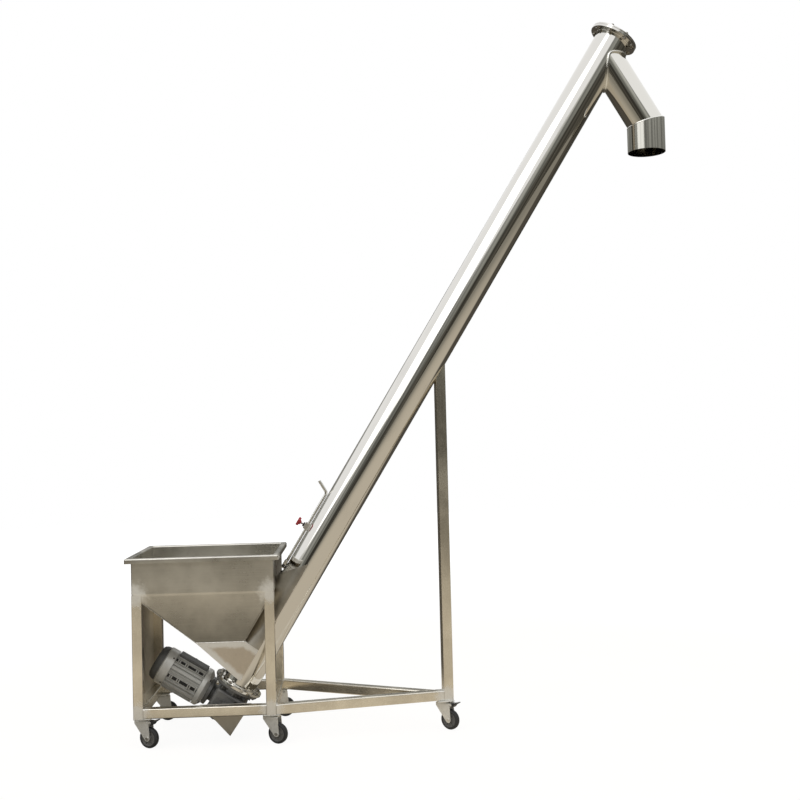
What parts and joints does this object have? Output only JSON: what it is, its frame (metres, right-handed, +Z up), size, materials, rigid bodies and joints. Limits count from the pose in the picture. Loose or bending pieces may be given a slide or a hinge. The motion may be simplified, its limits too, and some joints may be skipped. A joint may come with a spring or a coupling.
{
  "type": "inclined screw conveyor",
  "caption": "Inclined screw conveyor on a castered frame: square hopper with a slide gate, long tube, angled spout and worm-gear motor drive.",
  "frame": {"origin": "on the ground under the middle of the overall footprint", "axes": "+Z up, +X from the hopper toward the spout, +Y toward the rear of the frame"},
  "size_m": [2.2788, 0.522, 2.9534],
  "materials": {
    "black_plastic": "black moulded plastic",
    "bright_steel": "machined steel",
    "bronze": "bronze gear",
    "brushed_stainless": "satin brushed stainless sheet and tube",
    "cast_iron": "dark cast iron",
    "grey_casting": "painted casting",
    "matte_stainless": "dull stainless sheet",
    "polished_stainless": "polished stainless",
    "red_plastic": "red moulded grip",
    "seal_rubber": "black sealing ring",
    "tread_rubber": "black solid tread",
    "zinc_plate": "bright zinc plated sheet steel"
  },
  "bodies": {
    "machine": {"front_left_post": "brushed_stainless", "rear_left_post": "brushed_stainless", "front_right_post": "brushed_stainless", "rear_right_post": "brushed_stainless", "front_rail": "brushed_stainless", "rear_rail": "brushed_stainless", "left_rail": "brushed_stainless", "right_rail": "brushed_stainless", "front_long_rail": "brushed_stainless", "rear_long_rail": "brushed_stainless", "support_leg": "brushed_stainless", "side_panel": "matte_stainless", "drive_plate": "brushed_stainless", "hopper_shell": "brushed_stainless", "feed_boot": "polished_stainless", "gate_cover": "matte_stainless", "rod_guide": "bright_steel", "conveyor_tube": "polished_stainless", "lower_flange": "brushed_stainless", "upper_flange": "brushed_stainless", "top_cover": "polished_stainless", "top_bearing": "cast_iron", "lower_seal": "seal_rubber", "discharge_spout": "polished_stainless", "gearbox_housing": "cast_iron", "motor_front_bell": "grey_casting", "motor_frame": "grey_casting", "fan_cover": "grey_casting", "terminal_box": "grey_casting", "front_left_caster_plate": "zinc_plate", "rear_left_caster_plate": "zinc_plate", "front_right_caster_plate": "zinc_plate", "rear_right_caster_plate": "zinc_plate", "leg_caster_plate": "zinc_plate"},
    "auger": {"auger_screw": "bright_steel", "lower_stub": "bright_steel", "upper_stub": "bright_steel", "worm_wheel": "bronze"},
    "rotor": {"motor_shaft": "bright_steel", "motor_fan": "black_plastic"},
    "gate": {"gate_plate": "polished_stainless", "gate_rod": "bright_steel"},
    "knob": {"lock_knob": "red_plastic"},
    "front_left_caster_swivel": {"front_left_caster_fork": "zinc_plate", "front_left_caster_axle": "bright_steel"},
    "front_left_caster_roller": {"front_left_caster_wheel": "tread_rubber"},
    "front_left_caster_brake": {"front_left_caster_pedal": "black_plastic"},
    "rear_left_caster_swivel": {"rear_left_caster_fork": "zinc_plate", "rear_left_caster_axle": "bright_steel"},
    "rear_left_caster_roller": {"rear_left_caster_wheel": "tread_rubber"},
    "front_right_caster_swivel": {"front_right_caster_fork": "zinc_plate", "front_right_caster_axle": "bright_steel"},
    "front_right_caster_roller": {"front_right_caster_wheel": "tread_rubber"},
    "rear_right_caster_swivel": {"rear_right_caster_fork": "zinc_plate", "rear_right_caster_axle": "bright_steel"},
    "rear_right_caster_roller": {"rear_right_caster_wheel": "tread_rubber"},
    "leg_caster_swivel": {"leg_caster_fork": "zinc_plate", "leg_caster_axle": "bright_steel"},
    "leg_caster_roller": {"leg_caster_wheel": "tread_rubber"},
    "leg_caster_brake": {"leg_caster_pedal": "black_plastic"}
  },
  "joints": [
    {"name": "auger_spin", "type": "hinge", "parent": "machine", "child": "auger", "pos_m": [-0.71691, -0.079, 0.2103], "axis": [0.524, 0, 0.8517], "continuous": true},
    {"name": "motor_spin", "type": "hinge", "parent": "machine", "child": "rotor", "pos_m": [-0.76773, -0.016, 0.12768], "axis": [-0.8517, 0, 0.524], "continuous": true},
    {"name": "gate_slide", "type": "slide", "parent": "machine", "child": "gate", "axis": [0.524, 0, 0.8517], "range_m": [0, 0.13]},
    {"name": "knob_turn", "type": "hinge", "parent": "machine", "child": "knob", "pos_m": [-0.3475, -0.079, 0.81077], "axis": [-0.8517, 0, 0.524], "continuous": true},
    {"name": "front_left_caster_swivel", "type": "hinge", "parent": "machine", "child": "front_left_caster_swivel", "pos_m": [-1.08241, -0.204, 0.11], "axis": [0, 0, 1], "continuous": true},
    {"name": "front_left_caster_roll", "type": "hinge", "parent": "front_left_caster_swivel", "child": "front_left_caster_roller", "pos_m": [-1.05865, -0.21457, 0.0415], "axis": [0.4067, 0.9135, 0], "continuous": true},
    {"name": "front_left_caster_brake", "type": "hinge", "parent": "front_left_caster_swivel", "child": "front_left_caster_brake", "pos_m": [-1.04705, -0.21974, 0.1046], "axis": [0.4067, 0.9135, 0], "range_deg": [0, 10]},
    {"name": "rear_left_caster_swivel", "type": "hinge", "parent": "machine", "child": "rear_left_caster_swivel", "pos_m": [-1.08241, 0.204, 0.11], "axis": [0, 0, 1], "continuous": true},
    {"name": "rear_left_caster_roll", "type": "hinge", "parent": "rear_left_caster_swivel", "child": "rear_left_caster_roller", "pos_m": [-1.05798, 0.21289, 0.0415], "axis": [-0.342, 0.9397, 0], "continuous": true},
    {"name": "front_right_caster_swivel", "type": "hinge", "parent": "machine", "child": "front_right_caster_swivel", "pos_m": [-0.56941, -0.204, 0.11], "axis": [0, 0, 1], "continuous": true},
    {"name": "front_right_caster_roll", "type": "hinge", "parent": "front_right_caster_swivel", "child": "front_right_caster_roller", "pos_m": [-0.54566, -0.21457, 0.0415], "axis": [0.4067, 0.9135, 0], "continuous": true},
    {"name": "rear_right_caster_swivel", "type": "hinge", "parent": "machine", "child": "rear_right_caster_swivel", "pos_m": [-0.56941, 0.204, 0.11], "axis": [0, 0, 1], "continuous": true},
    {"name": "rear_right_caster_roll", "type": "hinge", "parent": "rear_right_caster_swivel", "child": "rear_right_caster_roller", "pos_m": [-0.54429, 0.21073, 0.0415], "axis": [-0.2588, 0.9659, 0], "continuous": true},
    {"name": "leg_caster_swivel", "type": "hinge", "parent": "machine", "child": "leg_caster_swivel", "pos_m": [0.13686, -0.08175, 0.11], "axis": [0, 0, 1], "continuous": true},
    {"name": "leg_caster_roll", "type": "hinge", "parent": "leg_caster_swivel", "child": "leg_caster_roller", "pos_m": [0.15735, -0.09775, 0.0415], "axis": [0.6157, 0.788, 0], "continuous": true},
    {"name": "leg_caster_brake", "type": "hinge", "parent": "leg_caster_swivel", "child": "leg_caster_brake", "pos_m": [0.16736, -0.10557, 0.1046], "axis": [0.6157, 0.788, 0], "range_deg": [0, 10]}
  ],
  "couplings": [
    {"joint": "motor_spin", "follows": "auger_spin", "ratio": 20}
  ]
}
